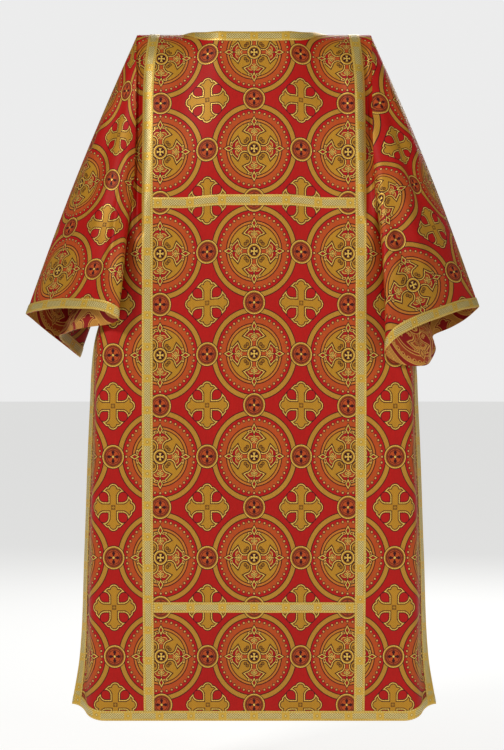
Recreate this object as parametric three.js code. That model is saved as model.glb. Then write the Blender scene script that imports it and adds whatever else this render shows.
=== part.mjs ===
// A dalmatic, the wide-sleeved liturgical tunic, filled out as it hangs on a wearer and hollow inside.
// Millimetres, +Z up, the front faces -Y, the origin lies midway between the shoulders, at their top.
// "across" and "down" are measured along the cloth: from the middle line, and from the shoulder line.
import * as THREE from 'three';

// ---- driving dimensions ----
const CLOTH = 1.5;                 // thickness of the brocade
const GALLOON = 20;                // width of the braid
const GALLOON_THICK = 1.0;
const GAP = 0.3;                   // between pieces at a seam, and under what lies on a panel
const PANEL_HALF = 372;            // half the width of the body panels below the sleeves
const SHOULDER_HALF = 226;         // half the width of the body panels at the shoulders
const UNDERARM = 545;              // down to where the side slit starts
const HEM = 1380;                  // length of the front panel down its middle
const BACK_SHORTER = 20;           // the back panel hangs level with the front though it is cut shorter
const HEM_RISE = 26;               // how much shorter the panels are at their side edges
const NECK_HALF = 140;             // half the length of the boat neck
const CLAVUS = 190;                // from the middle to the inner edge of each clavus
const CLAVUS_LEAN = 8;             // how far the clavi lean in at the shoulder
const BAR_DOWN = [388, 1156];      // down to the middle of each cross bar
const CLAVUS_STRAIGHT = 180;       // down to where the clavi run straight
const HEM_RISES_FROM = 285;        // across to where the hem starts to rise
const FLARE = 45;                  // width of the edge that flares out again
const NECK_STARTS = 60;            // across to where the panel starts to change into its shoulder
const LEVEL_FROM = 292;            // from here down the shoulder's lower lines level out,
const LEVEL_BY = 1060;             // and are level here
const SHOULDER_SOFT = 60;          // below the shoulder line the sides and folds take their full form
const NECK_SQUARE = 6;             // a higher power makes the neckline's bottom flatter
const HEIGHT_STEP = 4;             // down the cloth, in which its height is summed
const LEAST_DROP = 0.2;            // of one such step, however steeply it comes forward
const HEADING_STEPS = 40;          // across the cloth, in which its place is summed
const NUDGE = 2;                   // for finding the cloth's direction at a point
const FOLD_END = 0.1;              // a fold's height at its ends, as a part of half a turn
const CLAVUS_TRIM = 0.6;           // a clavus stops this short of the shoulder line
const SLIT_TRIM = 6;               // the side braid starts this far below the underarm

// How far each panel stands from the middle plane, at its middle and under the shoulder.
const FALL = {
  front: { neck: 56, neckUp: -7, hem: HEM, rows: [
    { down: 0, middle: 60, shoulder: 0 },
    { down: 25, middle: 70, shoulder: 24 },
    { down: 50, middle: 80, shoulder: 45 },
    { down: 100, middle: 97, shoulder: 77 },
    { down: 200, middle: 126, shoulder: 114 },
    { down: 292, middle: 138, shoulder: 132 },
    { down: 484, middle: 138, shoulder: 137 },
    { down: 868, middle: 136, shoulder: 136 },
    { down: 1060, middle: 120, shoulder: 120 },
    { down: 1252, middle: 91, shoulder: 91 },
    { down: 1380, middle: 67, shoulder: 67 }] },
  back: { neck: 24, neckUp: 8, hem: HEM - BACK_SHORTER, rows: [
    { down: 0, middle: 52, shoulder: 0 },
    { down: 25, middle: 63, shoulder: 23.6 },
    { down: 50, middle: 74, shoulder: 43 },
    { down: 100, middle: 92, shoulder: 72 },
    { down: 200, middle: 112, shoulder: 102 },
    { down: 292, middle: 121, shoulder: 115 },
    { down: 484, middle: 122, shoulder: 121 },
    { down: 868, middle: 118, shoulder: 118 },
    { down: 1060, middle: 106, shoulder: 106 },
    { down: 1252, middle: 86, shoulder: 86 },
    { down: 1380, middle: 70, shoulder: 70 }] },
};

// The side of a panel: where it starts to turn back, over what length, how far it has turned
// after that and at its edge (in degrees), and half the panel's width.
const SIDE = [
  { down: 0, start: 205, length: 60, turned: 40, edge: 40, half: SHOULDER_HALF },
  { down: 150, start: 198, length: 50, turned: 70, edge: 70, half: SHOULDER_HALF },
  { down: 350, start: 198, length: 55, turned: 72, edge: 72, half: SHOULDER_HALF + 2 },
  { down: 430, start: 200, length: 64, turned: 76, edge: 76, half: 240 },
  { down: 480, start: 206, length: 78, turned: 82, edge: 82, half: 268 },
  { down: 515, start: 210, length: 86, turned: 86, edge: 86, half: 320 },
  { down: UNDERARM, start: 215, length: 90, turned: 88, edge: 88, half: PANEL_HALF },
  { down: 650, start: 262, length: 54, turned: 84, edge: 80, half: PANEL_HALF },
  { down: 780, start: 267, length: 50, turned: 84, edge: 62, half: PANEL_HALF },
  { down: 1060, start: 280, length: 46, turned: 82, edge: 62, half: PANEL_HALF },
  { down: 1260, start: 285, length: 44, turned: 78, edge: 48, half: PANEL_HALF },
  { down: 1380, start: 290, length: 42, turned: 64, edge: 14, half: PANEL_HALF }];

// The largest soft folds of a panel: from one place to another, half width, and height (- is a trough).
const FOLDS = {
  front: [
    { across: [146, 186], down: [8, 190], spread: 22, height: 7 },
    { across: [-150, -196], down: [12, 150], spread: 24, height: 5 },
    { across: [206, 214], down: [60, 330], spread: 16, height: -6 },
    { across: [-206, -212], down: [70, 360], spread: 18, height: -7 },
    { across: [252, 262], down: [620, 1180], spread: 26, height: 3 },
    { across: [-252, -258], down: [660, 1240], spread: 24, height: 3 }],
  back: [
    { across: [148, 70], down: [20, 330], spread: 34, height: 6 },
    { across: [-150, -90], down: [24, 300], spread: 30, height: 7 },
    { across: [96, 128], down: [420, 1240], spread: 48, height: 7 },
    { across: [-118, -86], down: [520, 1300], spread: 42, height: 6 },
    { across: [10, -16], down: [640, 1340], spread: 40, height: -5 }],
};

// The cuff edge of each sleeve, from the tip over the hand, round the front, to the fold that laps the
// body, back under the arm, and round the back: turn is the part of the way round.
const CUFFS = {
  left: [
    { turn: 0, out: 442, forward: 0, up: -541 },
    { turn: 0.035, out: 428, forward: 30, up: -538 },
    { turn: 0.08, out: 404, forward: 64, up: -535 },
    { turn: 0.145, out: 367, forward: 108, up: -533 },
    { turn: 0.216, out: 333, forward: 144, up: -535 },
    { turn: 0.28, out: 297, forward: 172, up: -537 },
    { turn: 0.33, out: 268, forward: 184, up: -545 },
    { turn: 0.365, out: 252, forward: 172, up: -557 },
    { turn: 0.40, out: 272, forward: 152, up: -564 },
    { turn: 0.45, out: 308, forward: 136, up: -569 },
    { turn: 0.51, out: 340, forward: 80, up: -573 },
    { turn: 0.59, out: 364, forward: 20, up: -579 },
    { turn: 0.645, out: 379, forward: -20, up: -585 },
    { turn: 0.70, out: 366, forward: -62, up: -602 },
    { turn: 0.77, out: 346, forward: -104, up: -624 },
    { turn: 0.83, out: 376, forward: -98, up: -600 },
    { turn: 0.90, out: 412, forward: -66, up: -570 },
    { turn: 0.96, out: 434, forward: -30, up: -549 }],
  right: [
    { turn: 0, out: 436, forward: 0, up: -527 },
    { turn: 0.035, out: 422, forward: 30, up: -530 },
    { turn: 0.085, out: 397, forward: 66, up: -535 },
    { turn: 0.165, out: 353, forward: 116, up: -550 },
    { turn: 0.245, out: 312, forward: 154, up: -565 },
    { turn: 0.31, out: 274, forward: 180, up: -583 },
    { turn: 0.348, out: 254, forward: 188, up: -598 },
    { turn: 0.385, out: 243, forward: 172, up: -619 },
    { turn: 0.424, out: 268, forward: 150, up: -636 },
    { turn: 0.46, out: 294, forward: 144, up: -642 },
    { turn: 0.495, out: 320, forward: 122, up: -641 },
    { turn: 0.57, out: 337, forward: 62, up: -630 },
    { turn: 0.655, out: 351, forward: 0, up: -610 },
    { turn: 0.72, out: 352, forward: -48, up: -594 },
    { turn: 0.79, out: 356, forward: -94, up: -580 },
    { turn: 0.85, out: 390, forward: -92, up: -565 },
    { turn: 0.91, out: 416, forward: -64, up: -549 },
    { turn: 0.965, out: 432, forward: -26, up: -533 }],
};
// How far a sleeve stands out from the straight, half way along, at each part of the way round.
const SWELL = [
  { turn: 0, forward: 0, out: 8 },
  { turn: 0.12, forward: 22, out: 6 },
  { turn: 0.25, forward: 28, out: 0 },
  { turn: 0.36, forward: 30, out: -4 },
  { turn: 0.42, forward: 32, out: 6 },
  { turn: 0.47, forward: 26, out: 22 },
  { turn: 0.51, forward: 6, out: 34 },
  { turn: 0.55, forward: -8, out: 34 },
  { turn: 0.62, forward: -20, out: 22 },
  { turn: 0.75, forward: -28, out: 2 },
  { turn: 0.9, forward: -16, out: 6 },
  { turn: 1, forward: 0, out: 8 }];
const SLEEVE_STEPS = 9;
const LONG_STITCH = 66;             // a sleeve's net has one more line where two are further apart

// Lines of the panels' nets: the cloth is faceted on them, and the braid follows them.
const INNER_COLUMNS = [0, 50, 90, 116, 132, NECK_HALF];
const OUTER_PARTS = [0.22, 0.40, 0.56, 0.72, 1 - GALLOON / (PANEL_HALF - CLAVUS - GALLOON), 1];
const ROWS = [100, 160, 230, 300, BAR_DOWN[0] - GALLOON / 2, BAR_DOWN[0] + GALLOON / 2, 455, 505, UNDERARM,
  620, 760, 900, 1040, BAR_DOWN[1] - GALLOON / 2, BAR_DOWN[1] + GALLOON / 2, 1240, 1310];

// ---- small helpers ----
const rad = THREE.MathUtils.degToRad;
const ease = THREE.MathUtils.smoothstep;
const lerp = THREE.MathUtils.lerp;

// A smooth curve through one column of a table, against its key column.
function through(table, key, column, at) {
  const last = table.length - 1;
  const x = THREE.MathUtils.clamp(at, table[0][key], table[last][key]);
  let i = 0;
  while (i < last - 1 && table[i + 1][key] < x) i += 1;
  const slope = (j) => {
    const a = table[Math.max(j - 1, 0)];
    const b = table[Math.min(j + 1, last)];
    return (b[column] - a[column]) / (b[key] - a[key]);
  };
  const span = table[i + 1][key] - table[i][key];
  const f = (x - table[i][key]) / span;
  const p = table[i][column];
  const q = table[i + 1][column];
  const rise = (3 - 2 * f) * f * f;
  return p + (q - p) * rise + span * f * (1 - f) * ((1 - f) * slope(i) - f * slope(i + 1));
}

// ---- the body panels ----
const neckDown = (fall, across) => {
  const part = Math.min(Math.abs(across) / NECK_HALF, 1);
  return fall.neck * (1 - part ** NECK_SQUARE) ** 2;
};
const hemDown = (fall, across) => fall.hem - HEM_RISE * ease(Math.abs(across), HEM_RISES_FROM, PANEL_HALF);
const clavusIn = (down) => CLAVUS - CLAVUS_LEAN * (1 - ease(down, 0, CLAVUS_STRAIGHT));

// Height of a line of the cloth, from the depth it gains: each step down the cloth keeps its length.
function heightTable(fall, column, zeroDown, zeroUp) {
  const step = HEIGHT_STEP;
  const heights = [0];
  for (let down = step; down <= HEM; down += step) {
    const gain = through(fall.rows, 'down', column, down) - through(fall.rows, 'down', column, down - step);
    const drop = Math.sqrt(Math.max(step * step - gain * gain, LEAST_DROP ** 2));
    heights.push(heights[heights.length - 1] - drop);
  }
  const at = (down) => {
    const k = Math.min(Math.floor(down / step), heights.length - 2);
    return lerp(heights[k], heights[k + 1], down / step - k);
  };
  const shift = zeroUp - at(zeroDown);
  return (down) => at(down) + shift;
}
for (const fall of Object.values(FALL)) {
  fall.middleUp = heightTable(fall, 'middle', fall.neck, fall.neckUp);
  fall.shoulderUp = heightTable(fall, 'shoulder', 0, 0);
}

// Place across the body and distance set back from the panel's middle, along one level: the cloth's
// heading turns from straight across to nearly straight back.
function sideways(across, down) {
  const side = {};
  for (const column of ['start', 'length', 'turned', 'edge', 'half']) {
    side[column] = through(SIDE, 'down', column, down);
  }
  const step = Math.abs(across) / HEADING_STEPS;
  let x = 0;
  let back = 0;
  for (let k = 0; k < HEADING_STEPS; k += 1) {
    const s = (k + 0.5) * step;
    const turned = side.turned * ease(s, side.start, side.start + side.length);
    const flared = (side.edge - side.turned) * ease(s, side.half - FLARE, side.half);
    const heading = rad(turned + flared);
    x += Math.cos(heading) * step;
    back += Math.sin(heading) * step;
  }
  return { x: Math.sign(across) * x, back };
}

function foldHeight(folds, across, down) {
  let sum = 0;
  for (const fold of folds) {
    const ax = fold.across[1] - fold.across[0];
    const ay = fold.down[1] - fold.down[0];
    const bx = across - fold.across[0];
    const by = down - fold.down[0];
    const run = THREE.MathUtils.clamp((ax * bx + ay * by) / (ax * ax + ay * ay), 0, 1);
    const off = Math.hypot(bx - ax * run, by - ay * run) / fold.spread;
    sum += fold.height * Math.exp(-off * off) * Math.sin(Math.PI * lerp(FOLD_END, 1 - FOLD_END, run));
  }
  return sum;
}

// A point of a panel's outer face.
function panelPoint(name, across, down) {
  const fall = FALL[name];
  const facing = name === 'front' ? -1 : 1;
  const toShoulder = ease(Math.abs(across), NECK_STARTS, NECK_HALF);
  const lowered = toShoulder * (1 - ease(down, LEVEL_FROM, LEVEL_BY));
  const depthMiddle = through(fall.rows, 'down', 'middle', down);
  const depthShoulder = through(fall.rows, 'down', 'shoulder', down);
  const side = sideways(across, down);
  const depth = lerp(depthMiddle, depthShoulder, toShoulder)
    - side.back * ease(down, -SHOULDER_SOFT, SHOULDER_SOFT)
    + foldHeight(FOLDS[name], across, down) * ease(down, 0, SHOULDER_SOFT);
  const up = lerp(fall.middleUp(down), fall.shoulderUp(down), lowered);
  return new THREE.Vector3(side.x, facing * Math.max(depth, GAP / 2), up);
}

// Across place of each column of a panel's net, on one level.
function columnsAt(down) {
  const inner = clavusIn(down);
  const outer = inner + GALLOON;
  const half = through(SIDE, 'down', 'half', down);
  const right = [...INNER_COLUMNS, inner, outer];
  for (const part of OUTER_PARTS) right.push(outer + (half - outer) * part);
  const left = right.slice(1).reverse().map((across) => -across);
  return [...left, ...right];
}

// A panel's net: its points, normals and cloth places, row by row from the neck to the hem.
function panelNet(name) {
  const fall = FALL[name];
  const facing = name === 'front' ? -1 : 1;
  const levels = ['top', 'topBraid', ...ROWS, 'hemBraid', 'hem'];
  const count = columnsAt(0).length;
  const place = (level, column) => {
    let down = level;
    if (typeof level === 'string') {
      const nearTop = level.startsWith('top');
      const across = columnsAt(nearTop ? 0 : HEM)[column];
      down = nearTop ? neckDown(fall, across) : hemDown(fall, across);
      if (level === 'topBraid') down += GALLOON;
      if (level === 'hemBraid') down -= GALLOON;
    }
    return { across: columnsAt(down)[column], down };
  };
  const net = [];
  for (const level of levels) {
    const row = [];
    for (let column = 0; column < count; column += 1) {
      const { across, down } = place(level, column);
      const point = panelPoint(name, across, down);
      const nudge = across > 0 ? -NUDGE : NUDGE;
      const nudgeDown = down > HEM / 2 ? -NUDGE : NUDGE;
      const along = panelPoint(name, across + nudge, down).sub(point).multiplyScalar(nudge).normalize();
      const fallen = panelPoint(name, across, down + nudgeDown).sub(point).multiplyScalar(nudgeDown);
      const normal = along.clone().cross(fallen).multiplyScalar(facing);
      if (Math.abs(point.y) <= GAP / 2) normal.y = 0;    // on the shoulder seam both panels stand square
      normal.normalize();
      row.push({ point, normal, along });
    }
    net.push(row);
  }
  return net;
}

// ---- making solids ----
// A wall between two nets of points of the same size, closed along its edges.
function wall(outside, inside, { loop = false, flip = false } = {}) {
  const rows = outside.length;
  const columns = outside[0].length;
  const positions = [];
  for (const net of [outside, inside]) {
    for (const row of net) for (const p of row) positions.push(p.x, p.y, p.z);
  }
  const at = (side, i, j) => side * rows * columns + i * columns + (j % columns);
  const index = [];
  const quad = (a, b, c, d) => {
    if (flip) index.push(a, c, b, a, d, c);
    else index.push(a, b, c, a, c, d);
  };
  const spans = loop ? columns : columns - 1;
  for (let i = 0; i < rows - 1; i += 1) {
    for (let j = 0; j < spans; j += 1) {
      quad(at(0, i, j), at(0, i + 1, j), at(0, i + 1, j + 1), at(0, i, j + 1));
      quad(at(1, i, j), at(1, i, j + 1), at(1, i + 1, j + 1), at(1, i + 1, j));
    }
    if (!loop) {
      quad(at(0, i, 0), at(1, i, 0), at(1, i + 1, 0), at(0, i + 1, 0));
      const end = columns - 1;
      quad(at(0, i, end), at(0, i + 1, end), at(1, i + 1, end), at(1, i, end));
    }
  }
  for (let j = 0; j < spans; j += 1) {
    quad(at(0, 0, j), at(0, 0, j + 1), at(1, 0, j + 1), at(1, 0, j));
    quad(at(0, rows - 1, j), at(1, rows - 1, j), at(1, rows - 1, j + 1), at(0, rows - 1, j + 1));
  }
  const geometry = new THREE.BufferGeometry();
  geometry.setAttribute('position', new THREE.Float32BufferAttribute(positions, 3));
  geometry.setIndex(index);
  return geometry;
}

// A net moved along its normals.
const moved = (net, distance) => net.map((row) => row.map(
  ({ point, normal }) => point.clone().addScaledVector(normal, distance)));

// Part of a net, between two rows and two columns; an end may lie a little inside, as a part of a step.
function piece(net, firstRow, lastRow, firstColumn, lastColumn, trim = {}) {
  const blend = (a, b, part) => ({
    point: a.point.clone().lerp(b.point, part),
    normal: a.normal.clone().lerp(b.normal, part).normalize(),
  });
  const { top = 0, bottom = 0, left = 0, right = 0 } = trim;
  const rows = [];
  for (let i = firstRow; i <= lastRow; i += 1) rows.push(net[i].slice(firstColumn, lastColumn + 1));
  const shorten = (list, fromStart, distance, gapOf, mix) => {
    if (distance === 0) return;
    const a = fromStart ? 0 : list.length - 1;
    const b = fromStart ? 1 : list.length - 2;
    list[a] = mix(list[a], list[b], distance / gapOf(list[a], list[b]));
  };
  const apart = (p, q) => p.point.distanceTo(q.point);
  const mixRows = (p, q, part) => p.map((cell, j) => blend(cell, q[j], part));
  const rowsApart = (p, q) => apart(p[0], q[0]);
  shorten(rows, true, top, rowsApart, mixRows);
  shorten(rows, false, bottom, rowsApart, mixRows);
  for (const row of rows) {
    shorten(row, true, left, apart, blend);
    shorten(row, false, right, apart, blend);
  }
  return rows;
}

const brocade = () => new THREE.MeshStandardMaterial({ color: 0xb02a20, roughness: 0.5, metalness: 0.1 });
const braid = () => new THREE.MeshStandardMaterial({ color: 0xc8a542, roughness: 0.45, metalness: 0.35 });
const garment = new THREE.Group();

function add(name, geometry, material) {
  const mesh = new THREE.Mesh(geometry, material);
  mesh.name = name;
  garment.add(mesh);
}

function addBraid(name, net, flip) {
  add(name, wall(moved(net, GAP + GALLOON_THICK), moved(net, GAP), { flip }), braid());
}

// ---- body, with the braid that lies on it ----
const NETS = { front: panelNet('front'), back: panelNet('back') };
const LAST_COLUMN = NETS.front[0].length - 1;
const MIDDLE = LAST_COLUMN / 2;
const NECK_END = INNER_COLUMNS.length - 1;
const LAST_ROW = NETS.front.length - 1;
const rowOf = (down) => 2 + ROWS.indexOf(down);
const SLIT_ROW = rowOf(UNDERARM);

for (const name of ['front', 'back']) {
  const net = NETS[name];
  const flip = name === 'back';
  add(`${name}_panel`, wall(moved(net, 0), moved(net, -CLOTH), { flip }), brocade());
  addBraid(`${name}_neck_galloon`, piece(net, 0, 1, MIDDLE - NECK_END, MIDDLE + NECK_END), flip);
  addBraid(`${name}_hem_galloon`, piece(net, LAST_ROW - 1, LAST_ROW, 0, LAST_COLUMN), flip);
  const clavusColumn = { left: MIDDLE - NECK_END - 2, right: MIDDLE + NECK_END + 1 };
  for (const [hand, column] of Object.entries(clavusColumn)) {
    const strip = piece(net, 0, LAST_ROW - 1, column, column + 1, { top: CLAVUS_TRIM, bottom: GAP });
    addBraid(`${name}_clavus_${hand}`, strip, flip);
  }
  BAR_DOWN.forEach((down, k) => {
    const row = rowOf(down - GALLOON / 2);
    const trim = { left: GAP, right: GAP };
    const strip = piece(net, row, row + 1, clavusColumn.left + 1, clavusColumn.right, trim);
    addBraid(`${name}_bar_${['upper', 'lower'][k]}`, strip, flip);
  });
  for (const [hand, column] of Object.entries({ left: 0, right: LAST_COLUMN - 1 })) {
    const strip = piece(net, SLIT_ROW, LAST_ROW - 1, column, column + 1, { top: SLIT_TRIM, bottom: GAP });
    addBraid(`${name}_side_galloon_${hand}`, strip, flip);
  }
}

// ---- sleeves ----
// The armhole ring of a sleeve starts at the shoulder, runs down the front panel's edge to the
// underarm and up the back panel's edge, one gap away from them. Each point knows how far round it is.
function armhole(side) {
  const column = side < 0 ? 0 : LAST_COLUMN;
  const edge = (name) => {
    const places = [];
    for (const { point, normal, along } of NETS[name].slice(0, SLIT_ROW + 1).map((row) => row[column])) {
      const outside = point.clone().addScaledVector(along, side * GAP);
      const place = { outside, inside: outside.clone().addScaledVector(normal, -CLOTH) };
      const last = places[places.length - 1];
      if (last && last.outside.distanceTo(outside) > LONG_STITCH) {
        const half = (key) => last[key].clone().lerp(place[key], 0.5);
        places.push({ outside: half('outside'), inside: half('inside') });
      }
      places.push(place);
    }
    return places;
  };
  const ring = [...edge('front'), ...edge('back').slice(1).reverse()];
  ring[0].outside.y = 0;
  ring[0].inside.y = 0;
  let length = 0;
  ring.forEach((place, j) => {
    if (j > 0) length += place.outside.distanceTo(ring[j - 1].outside);
    place.turn = length;
  });
  length += ring[ring.length - 1].outside.distanceTo(ring[0].outside);
  for (const place of ring) place.turn /= length;
  return ring;
}

// A sleeve's net: straight lines from the armhole to the cuff, swelling out half way. The last step
// is as long as the braid is wide.
function sleeveNet(side, cuffTable) {
  const cuff = [...cuffTable, { ...cuffTable[0], turn: 1 }];
  const columns = armhole(side).map(({ outside, inside, turn }) => {
    const at = (column) => through(cuff, 'turn', column, turn);
    const edge = new THREE.Vector3(side * at('out'), -at('forward'), at('up'));
    const swellBy = (column) => through(SWELL, 'turn', column, turn);
    const swell = new THREE.Vector3(side * swellBy('out'), -swellBy('forward'), 0);
    const braidPart = GALLOON / outside.distanceTo(edge);
    const cells = [];
    for (let i = 0; i <= SLEEVE_STEPS; i += 1) {
      const along = i < SLEEVE_STEPS ? i / (SLEEVE_STEPS - 1) * (1 - braidPart) : 1;
      const point = outside.clone().lerp(edge, along);
      point.addScaledVector(swell, Math.sin(Math.PI * along));
      cells.push({ point, inside });
    }
    return cells;
  });
  const count = columns.length;
  const net = [];
  for (let i = 0; i <= SLEEVE_STEPS; i += 1) net.push(columns.map((cells) => cells[i]));
  for (let i = 0; i <= SLEEVE_STEPS; i += 1) {
    for (let j = 0; j < count; j += 1) {
      const above = net[Math.max(i - 1, 0)][j].point;
      const below = net[Math.min(i + 1, SLEEVE_STEPS)][j].point;
      const before = net[i][(j + count - 1) % count].point;
      const after = net[i][(j + 1) % count].point;
      const normal = below.clone().sub(above).cross(after.clone().sub(before)).normalize();
      net[i][j].normal = normal.multiplyScalar(-side);
    }
  }
  return net;
}

for (const [hand, side] of [['left', -1], ['right', 1]]) {
  const net = sleeveNet(side, CUFFS[hand]);
  const inside = moved(net, -CLOTH);
  inside[0] = net[0].map((cell) => cell.inside);
  const flip = side > 0;
  add(`sleeve_${hand}`, wall(moved(net, 0), inside, { loop: true, flip }), brocade());
  const strip = net.slice(SLEEVE_STEPS - 1);
  add(`cuff_galloon_${hand}`,
    wall(moved(strip, GAP + GALLOON_THICK), moved(strip, GAP), { loop: true, flip }), braid());
}

export default garment;
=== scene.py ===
"""A dalmatic: the wide-sleeved liturgical tunic of red and gold brocade, as it hangs on a wearer.

The cloth is worked out in millimetres, as a maker cuts it. "across" and "down" are measured along the
cloth, from the middle line and from the shoulder line. Meshes are in metres, +Z up, front towards -Y.
"""
import math

import bpy
import numpy as np
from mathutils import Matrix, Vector


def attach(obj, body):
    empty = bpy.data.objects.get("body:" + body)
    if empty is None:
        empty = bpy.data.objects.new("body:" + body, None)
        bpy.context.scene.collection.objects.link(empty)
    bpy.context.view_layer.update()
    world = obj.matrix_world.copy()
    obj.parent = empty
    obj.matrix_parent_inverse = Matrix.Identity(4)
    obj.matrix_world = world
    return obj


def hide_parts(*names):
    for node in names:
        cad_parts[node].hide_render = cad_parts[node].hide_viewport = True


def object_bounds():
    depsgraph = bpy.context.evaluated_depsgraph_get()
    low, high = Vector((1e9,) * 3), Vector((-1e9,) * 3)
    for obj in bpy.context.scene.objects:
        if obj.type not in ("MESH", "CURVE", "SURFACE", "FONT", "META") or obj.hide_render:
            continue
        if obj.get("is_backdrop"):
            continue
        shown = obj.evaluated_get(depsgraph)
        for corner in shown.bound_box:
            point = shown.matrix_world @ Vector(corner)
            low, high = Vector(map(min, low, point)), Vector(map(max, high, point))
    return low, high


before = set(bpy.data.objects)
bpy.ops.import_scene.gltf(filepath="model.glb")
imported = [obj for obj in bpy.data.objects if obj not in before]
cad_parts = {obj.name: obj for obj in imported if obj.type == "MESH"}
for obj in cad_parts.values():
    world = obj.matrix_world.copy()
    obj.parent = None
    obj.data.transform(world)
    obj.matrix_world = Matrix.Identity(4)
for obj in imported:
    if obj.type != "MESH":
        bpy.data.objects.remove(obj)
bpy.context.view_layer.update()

# ---------------------------------------------------------------- sizes, in millimetres
MM = 0.001
CLOTH = 1.5
GALLOON = 20.0
GALLOON_THICK = 1.0
GAP = 0.3
PANEL_HALF = 372.0
SHOULDER_HALF = 226.0
UNDERARM = 545.0
HEM = 1380.0
BACK_SHORTER = 20.0
HEM_RISE = 26.0
NECK_HALF = 140.0
CLAVUS = 190.0
CLAVUS_LEAN = 8.0
BAR_DOWN = {"upper": 388.0, "lower": 1156.0}
REPEAT = {"across": 176.0, "down": 192.0, "first": 100.0}   # the brocade's repeat, and its first row
NECK_SQUARE = 6                    # power that squares the neckline's corners
HEM_RISES_FROM = 285.0             # across, where the hem starts to rise
CLAVUS_STRAIGHT = 180.0            # down, where a clavus stops leaning
FLARE = 45.0                       # width of the flared strip along a panel's edge
SHOULDER_FROM = 60.0               # across, where the middle's profile starts to give way
LEVEL = (292.0, 1060.0)            # down, over which the levels straighten out below the shoulder
SHOULDER_SOFT = 60.0               # down, over which folds grow in from the shoulder
CLAVUS_TRIM = 0.6                  # a clavus stops this far from the shoulder line
SLIT_TRIM = 6.0                    # a side's braid starts this far below the underarm
EDGE_THINNED, EDGE_SQUARE = 0.6, 6   # part of the braid's thickness lost at its edges, and how sharply


def table(columns, *rows):
    """Named columns of a short table, each as an array."""
    return dict(zip(columns.split(), np.array(rows, float).T))


# How far each panel stands from the middle plane, at its middle and under the shoulder.
FALL = {
    "front": {"neck": 56.0, "neck_up": -7.0, "hem": HEM, "rows": table(
        "down middle shoulder",
        (0, 60, 0), (25, 70, 24), (50, 80, 45), (100, 97, 77), (200, 126, 114), (292, 138, 132),
        (484, 138, 137), (868, 136, 136), (1060, 120, 120), (1252, 91, 91), (1380, 67, 67))},
    "back": {"neck": 24.0, "neck_up": 8.0, "hem": HEM - BACK_SHORTER, "rows": table(
        "down middle shoulder",
        (0, 52, 0), (25, 63, 23.6), (50, 74, 43), (100, 92, 72), (200, 112, 102), (292, 121, 115),
        (484, 122, 121), (868, 118, 118), (1060, 106, 106), (1252, 86, 86), (1380, 70, 70))},
}

# The side of a panel: where it starts to turn back, over what length, how far it has turned after
# that and at its edge (in degrees), and half the panel's width.
SIDE = table(
    "down start length turned edge half",
    (0, 205, 60, 40, 40, SHOULDER_HALF),
    (150, 198, 50, 70, 70, SHOULDER_HALF),
    (350, 198, 55, 72, 72, SHOULDER_HALF + 2),
    (430, 200, 64, 76, 76, 240),
    (480, 206, 78, 82, 82, 268),
    (515, 210, 86, 86, 86, 320),
    (UNDERARM, 215, 90, 88, 88, PANEL_HALF),
    (650, 262, 54, 84, 80, PANEL_HALF),
    (780, 267, 50, 84, 62, PANEL_HALF),
    (1060, 280, 46, 82, 62, PANEL_HALF),
    (1260, 285, 44, 78, 48, PANEL_HALF),
    (1380, 290, 42, 64, 14, PANEL_HALF))

# Soft folds: from one place on the cloth to another, half width, and height (- is a trough).
FOLD_COLUMNS = "across down to_across to_down spread height"
FOLDS = {
    "front": table(
        FOLD_COLUMNS,
        (146, 8, 186, 190, 22, 7), (-150, 12, -196, 150, 24, 5), (206, 60, 214, 330, 16, -6),
        (-206, 70, -212, 360, 18, -7), (252, 620, 262, 1180, 26, 3),
        (-252, 660, -258, 1240, 24, 3)),
    "back": table(
        FOLD_COLUMNS,
        (148, 20, 70, 330, 34, 6), (-150, 24, -90, 300, 30, 7), (96, 420, 128, 1240, 48, 7),
        (-118, 520, -86, 1300, 42, 6), (10, 640, -16, 1340, 40, -5)),
}
# Smaller creases that the cloth shows on those folds.
CREASES = {
    "front": table(
        FOLD_COLUMNS,
        (216, 50, 217, 410, 12, -28), (-220, 30, -220, 440, 9, -30),
        (128, 40, 60, 150, 16, 1.6), (-120, 44, -70, 130, 15, 1.4), (160, 30, 170, 260, 11, -2.6),
        (-168, 30, -178, 210, 12, -2.2), (196, 230, 150, 420, 22, 1.8),
        (-196, 250, -140, 470, 24, 1.8),
        (60, 300, 30, 560, 34, 1.6), (-40, 420, -70, 760, 40, 1.6), (110, 640, 120, 900, 30, -1.4),
        (-150, 700, -140, 1010, 28, 1.5), (20, 900, 44, 1300, 44, 1.8),
        (-104, 1060, -120, 1360, 30, -1.8),
        (170, 980, 186, 1370, 26, 2.0), (-212, 900, -226, 1300, 20, -2.0),
        (222, 760, 230, 1120, 18, -1.8),
        (300, 700, 306, 1240, 14, 1.6), (-300, 760, -304, 1300, 14, 1.6)),
    "back": table(
        FOLD_COLUMNS,
        (220, 50, 220, 400, 9, -20), (-220, 60, -220, 410, 9, -22),
        (110, 60, 40, 220, 16, 1.8), (-108, 50, -50, 210, 18, 1.6), (188, 90, 160, 420, 20, 2.6),
        (-190, 120, -168, 380, 20, 2.4), (40, 420, 60, 760, 26, -2.6),
        (-30, 500, -52, 900, 30, 2.8),
        (170, 700, 196, 1300, 26, -3.0), (-176, 640, -190, 1180, 24, -2.8),
        (60, 940, 70, 1350, 26, 2.4),
        (230, 640, 250, 1280, 22, 2.4), (-236, 720, -246, 1330, 24, 2.6),
        (-20, 1080, -30, 1350, 20, 2.2),
        (300, 660, 306, 1200, 14, 1.8), (-300, 700, -304, 1240, 14, 1.8)),
}

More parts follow.
